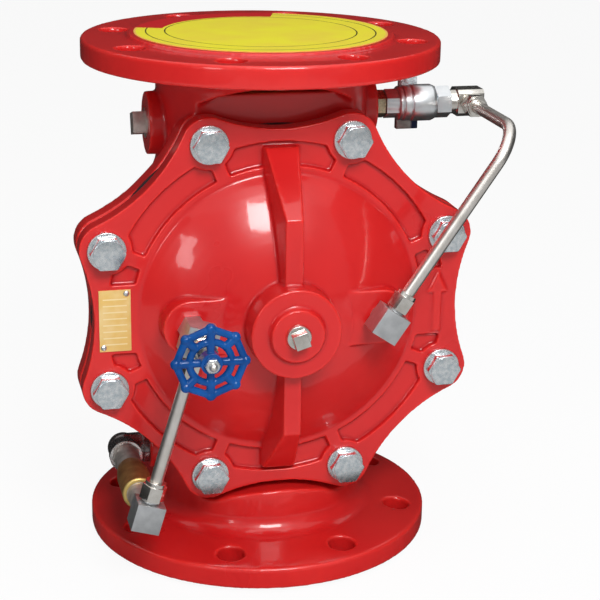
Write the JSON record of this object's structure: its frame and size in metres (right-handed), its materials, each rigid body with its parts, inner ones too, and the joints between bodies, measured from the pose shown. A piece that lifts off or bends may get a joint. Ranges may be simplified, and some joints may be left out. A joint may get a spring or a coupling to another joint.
{
  "type": "sprinkler alarm valve",
  "caption": "Red flanged diaphragm alarm valve for a sprinkler main, with a lobed domed cover, a supply line with a handwheel needle valve and a release line with a ball valve",
  "frame": {"origin": "centre of the inlet's raised face", "axes": "+Z along the pipe from inlet to outlet, -Y out of the cover, +X to the release line's side"},
  "size_m": [0.3421, 0.339, 0.42],
  "materials": {
    "red_enamel": "glossy enamel on cast iron",
    "bronze": "turned bronze",
    "brass": "turned brass",
    "black_rubber": "fabric-reinforced rubber",
    "zinc_steel": "zinc plated",
    "dark_steel": "malleable iron, galvanised",
    "stainless": "drawn stainless steel",
    "nickel": "nickel plated",
    "satin_nickel": "satin nickel plated",
    "chrome_ball": "polished chrome",
    "white_seal": "plain seal plastic",
    "gold_plate": "gold anodised, blank",
    "blue_wheel": "glossy blue enamel",
    "blue_sleeve": "dipped vinyl sleeve"
  },
  "bodies": {
    "valve": {"valve_body": "red_enamel", "seat_ring": "bronze", "diaphragm": "black_rubber", "return_spring": "zinc_steel", "cover": "red_enamel", "cover_bolts": "zinc_steel", "cover_washers": "zinc_steel", "centre_plug": "zinc_steel", "side_plug": "dark_steel", "nameplate": "gold_plate", "nameplate_rivets": "zinc_steel", "supply_elbow": "dark_steel", "supply_nipple": "zinc_steel", "check_body": "brass", "check_spring": "zinc_steel", "supply_connector": "dark_steel", "supply_block": "nickel", "supply_tube": "stainless", "supply_nuts": "nickel", "needle_body": "nickel", "needle_bonnet": "nickel", "needle_gland": "nickel", "chamber_block": "nickel", "release_tube": "stainless", "release_nuts": "nickel", "release_elbow": "nickel", "release_bushing": "brass", "ball_valve_end": "satin_nickel", "ball_valve_body": "satin_nickel", "ball_seats": "white_seal", "stem_gland": "zinc_steel"},
    "main_disc": {"clamp_plate": "dark_steel", "retaining_plate": "dark_steel", "clamp_bolt": "zinc_steel", "clamp_nut": "zinc_steel"},
    "check_disc": {"check_poppet": "bronze"},
    "needle_lift": {"needle_disc": "stainless"},
    "needle_wheel": {"needle_stem": "stainless", "handwheel": "blue_wheel", "handwheel_nut": "zinc_steel"},
    "release_ball": {"ball": "chrome_ball", "ball_stem": "zinc_steel", "release_lever": "zinc_steel", "lever_sleeve": "blue_sleeve", "lever_nut": "zinc_steel"}
  },
  "joints": [
    {"name": "disc_lift", "type": "slide", "parent": "valve", "child": "main_disc", "axis": [0, -1, 0], "range_m": [0, 0.02], "stiffness_N_per_m": 2000, "springref_m": -0.02, "deforming": ["diaphragm", "return_spring"]},
    {"name": "check_lift", "type": "slide", "parent": "valve", "child": "check_disc", "axis": [0, -1, 0], "range_m": [0, 0.006], "stiffness_N_per_m": 300, "springref_m": -0.004, "deforming": ["check_spring"]},
    {"name": "needle_travel", "type": "slide", "parent": "valve", "child": "needle_lift", "axis": [0, -1, 0], "range_m": [0, 0.0045]},
    {"name": "wheel_turn", "type": "hinge", "parent": "needle_lift", "child": "needle_wheel", "pos_m": [-0.075, -0.182, 0.212], "axis": [0, -1, 0], "range_deg": [0, 1080]},
    {"name": "lever_turn", "type": "hinge", "parent": "valve", "child": "release_ball", "pos_m": [0.131, 0, 0.359], "axis": [0, -1, 0], "range_deg": [0, 90]}
  ],
  "couplings": [
    {"joint": "needle_travel", "follows": "wheel_turn", "m_per_rad": 0.00023873}
  ]
}
